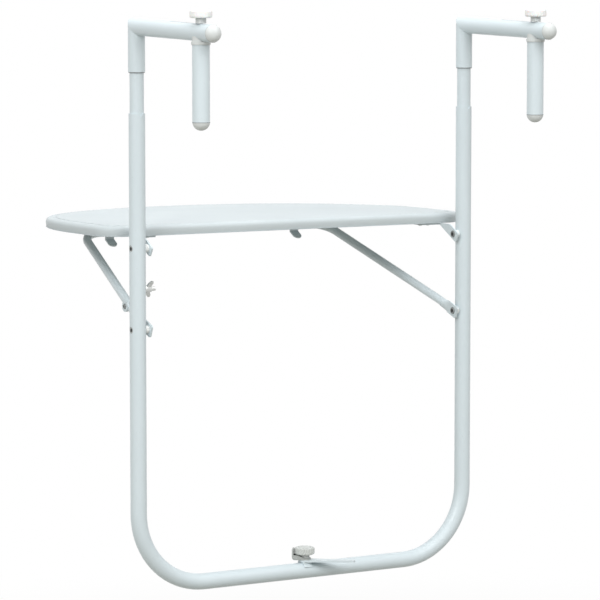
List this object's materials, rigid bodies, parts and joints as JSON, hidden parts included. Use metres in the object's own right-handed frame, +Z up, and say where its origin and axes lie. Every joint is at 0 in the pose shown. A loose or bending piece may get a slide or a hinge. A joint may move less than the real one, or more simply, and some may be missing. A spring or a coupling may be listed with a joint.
{
  "type": "hanging balcony table",
  "caption": "Half-round folding table on a white tube frame that hooks over a balcony railing, with telescopic hooks, clamp posts and a folding stay.",
  "frame": {"origin": "rail seat: under the two hook arms, midway between them and midway between the legs and the clamp posts", "axes": "+X to the right seen from the balcony side with the table top ahead, +Y from the railing towards the sitter, +Z up"},
  "size_m": [0.6399, 0.6933, 0.8612],
  "materials": {
    "coated_steel": "semi-gloss white powder coat",
    "top_plastic": "matt moulded plastic with a woven relief",
    "cap_plastic": "matt",
    "knob_plastic": "gloss",
    "spacer_plastic": "matt",
    "neck_metal": "satin",
    "zinc_steel": "satin zinc plate",
    "dark_steel": "blackened",
    "foot_knob_plastic": "satin"
  },
  "bodies": {
    "frame": {"frame_tube": "coated_steel", "wing_stud": "zinc_steel", "wing_washer": "zinc_steel", "foot_saddle": "coated_steel", "foot_nut": "zinc_steel", "hinge_bolt_left": "dark_steel", "hinge_bolt_right": "dark_steel", "hinge_spacer_left": "spacer_plastic", "hinge_spacer_right": "spacer_plastic", "hinge_nut_left": "dark_steel", "hinge_nut_right": "dark_steel", "stay_bolt_left": "dark_steel", "stay_bolt_right": "dark_steel", "stay_spacer_left": "spacer_plastic", "stay_spacer_right": "spacer_plastic", "stay_nut_left": "dark_steel", "stay_nut_right": "dark_steel"},
    "tabletop": {"tabletop": "top_plastic", "hinge_bracket_left": "coated_steel", "hinge_bracket_right": "coated_steel", "bracket_screws_left": "zinc_steel", "bracket_screws_right": "zinc_steel"},
    "stay": {"stay_bar": "coated_steel", "catch_tongue_left": "coated_steel", "catch_tongue_right": "coated_steel", "stay_lug": "coated_steel", "lug_rivet": "dark_steel"},
    "wing_nut": {"wing_nut": "zinc_steel"},
    "foot_bar": {"foot_bar": "coated_steel", "foot_stop": "dark_steel"},
    "foot_knob": {"foot_knob": "foot_knob_plastic", "foot_knob_neck": "neck_metal", "foot_screw": "zinc_steel"},
    "hook_left": {"insert_tube_left": "coated_steel", "hook_arm_left": "coated_steel", "arm_end_cap_left": "cap_plastic"},
    "post_left": {"post_saddle_left": "cap_plastic", "post_tube_left": "coated_steel", "post_end_cap_left": "cap_plastic", "post_nut_left": "zinc_steel"},
    "knob_left": {"post_knob_left": "knob_plastic", "post_knob_neck_left": "neck_metal", "post_screw_left": "zinc_steel"},
    "hook_right": {"insert_tube_right": "coated_steel", "hook_arm_right": "coated_steel", "arm_end_cap_right": "cap_plastic"},
    "post_right": {"post_saddle_right": "cap_plastic", "post_tube_right": "coated_steel", "post_end_cap_right": "cap_plastic", "post_nut_right": "zinc_steel"},
    "knob_right": {"post_knob_right": "knob_plastic", "post_knob_neck_right": "neck_metal", "post_screw_right": "zinc_steel"}
  },
  "joints": [
    {"name": "hook_slide_left", "type": "slide", "parent": "frame", "child": "hook_left", "axis": [0, 0, 1], "range_m": [-0.06, 0.04]},
    {"name": "hook_slide_right", "type": "slide", "parent": "frame", "child": "hook_right", "axis": [0, 0, 1], "range_m": [-0.06, 0.04]},
    {"name": "post_slide_left", "type": "slide", "parent": "hook_left", "child": "post_left", "axis": [0, 0.9994, 0.0349], "range_m": [0, 0.08]},
    {"name": "post_slide_right", "type": "slide", "parent": "hook_right", "child": "post_right", "axis": [0, 0.9994, 0.0349], "range_m": [0, 0.08]},
    {"name": "knob_turn_left", "type": "hinge", "parent": "post_left", "child": "knob_left", "pos_m": [-0.2875, -0.09425, 0.0363], "axis": [0, 0, 1], "range_deg": [0, 360]},
    {"name": "knob_turn_right", "type": "hinge", "parent": "post_right", "child": "knob_right", "pos_m": [0.2875, -0.09425, 0.0363], "axis": [0, 0, 1], "range_deg": [0, 360]},
    {"name": "table_fold", "type": "hinge", "parent": "frame", "child": "tabletop", "pos_m": [0, 0.09425, -0.3067], "axis": [1, 0, 0], "range_deg": [-90, 0]},
    {"name": "stay_fold", "type": "hinge", "parent": "frame", "child": "stay", "pos_m": [0, 0.09425, -0.4259], "axis": [1, 0, 0], "range_deg": [-111.61, 0]},
    {"name": "wing_nut_turn", "type": "hinge", "parent": "frame", "child": "wing_nut", "pos_m": [-0.265, 0.09425, -0.3667], "axis": [1, 0, 0], "range_deg": [0, 360]},
    {"name": "foot_bar_swing", "type": "hinge", "parent": "frame", "child": "foot_bar", "pos_m": [-0.0013, 0.09425, -0.7935], "axis": [0, 0, 1], "range_deg": [-143.5, 36.5]},
    {"name": "foot_knob_turn", "type": "hinge", "parent": "frame", "child": "foot_knob", "pos_m": [-0.0013, 0.09425, -0.7837], "axis": [0, 0, 1], "range_deg": [0, 360]}
  ],
  "couplings": [
    {"joint": "stay_fold", "follows": "table_fold", "ratio": 1.2401}
  ]
}
